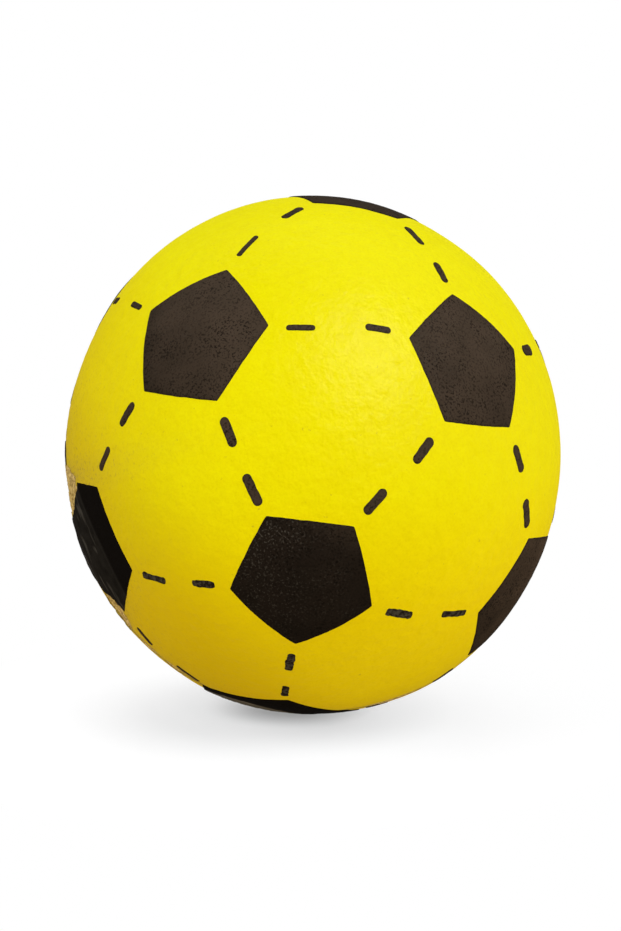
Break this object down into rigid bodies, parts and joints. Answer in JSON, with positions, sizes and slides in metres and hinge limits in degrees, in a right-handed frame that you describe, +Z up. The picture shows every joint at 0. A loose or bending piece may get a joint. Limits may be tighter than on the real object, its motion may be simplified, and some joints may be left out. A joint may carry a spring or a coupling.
{
  "type": "foam soccer ball",
  "caption": "Soft solid foam soccer ball for indoor and garden play, with a yellow skin and a printed black pattern of pentagons joined by dashed lines.",
  "frame": {"origin": "centre of the ball", "axes": "+Z up, -Y towards the front of the ball as it lies in the picture, +X to the right"},
  "size_m": [0.2, 0.2004, 0.2006],
  "materials": {
    "foam": "cream polyurethane foam, dry and matte, with fine open cells",
    "yellow_skin": "soft matte yellow polyurethane skin with a fine foam grain",
    "black_ink": "matte to satin black printing ink with a pebbled grain"
  },
  "bodies": {
    "root": {"foam_core": "foam", "skin_front": "yellow_skin", "skin_back": "yellow_skin", "pentagon_top": "black_ink", "pentagon_upper_1": "black_ink", "pentagon_upper_2": "black_ink", "pentagon_upper_3": "black_ink", "pentagon_upper_4": "black_ink", "pentagon_upper_5": "black_ink", "pentagon_lower_1": "black_ink", "pentagon_lower_2": "black_ink", "pentagon_lower_3": "black_ink", "pentagon_lower_4": "black_ink", "pentagon_lower_5": "black_ink", "pentagon_bottom": "black_ink", "dashes_top_1": "black_ink", "dashes_top_2": "black_ink", "dashes_top_3": "black_ink", "dashes_top_4": "black_ink", "dashes_top_5": "black_ink", "dashes_upper_1": "black_ink", "dashes_upper_2": "black_ink", "dashes_upper_3": "black_ink", "dashes_upper_4": "black_ink", "dashes_upper_5": "black_ink", "dashes_middle_1": "black_ink", "dashes_middle_2": "black_ink", "dashes_middle_3": "black_ink", "dashes_middle_4": "black_ink", "dashes_middle_5": "black_ink", "dashes_middle_6": "black_ink", "dashes_middle_7": "black_ink", "dashes_middle_8": "black_ink", "dashes_middle_9": "black_ink", "dashes_middle_10": "black_ink", "dashes_lower_1": "black_ink", "dashes_lower_2": "black_ink", "dashes_lower_3": "black_ink", "dashes_lower_4": "black_ink", "dashes_lower_5": "black_ink", "dashes_bottom_1": "black_ink", "dashes_bottom_2": "black_ink", "dashes_bottom_3": "black_ink", "dashes_bottom_4": "black_ink", "dashes_bottom_5": "black_ink"}
  },
  "joints": []
}
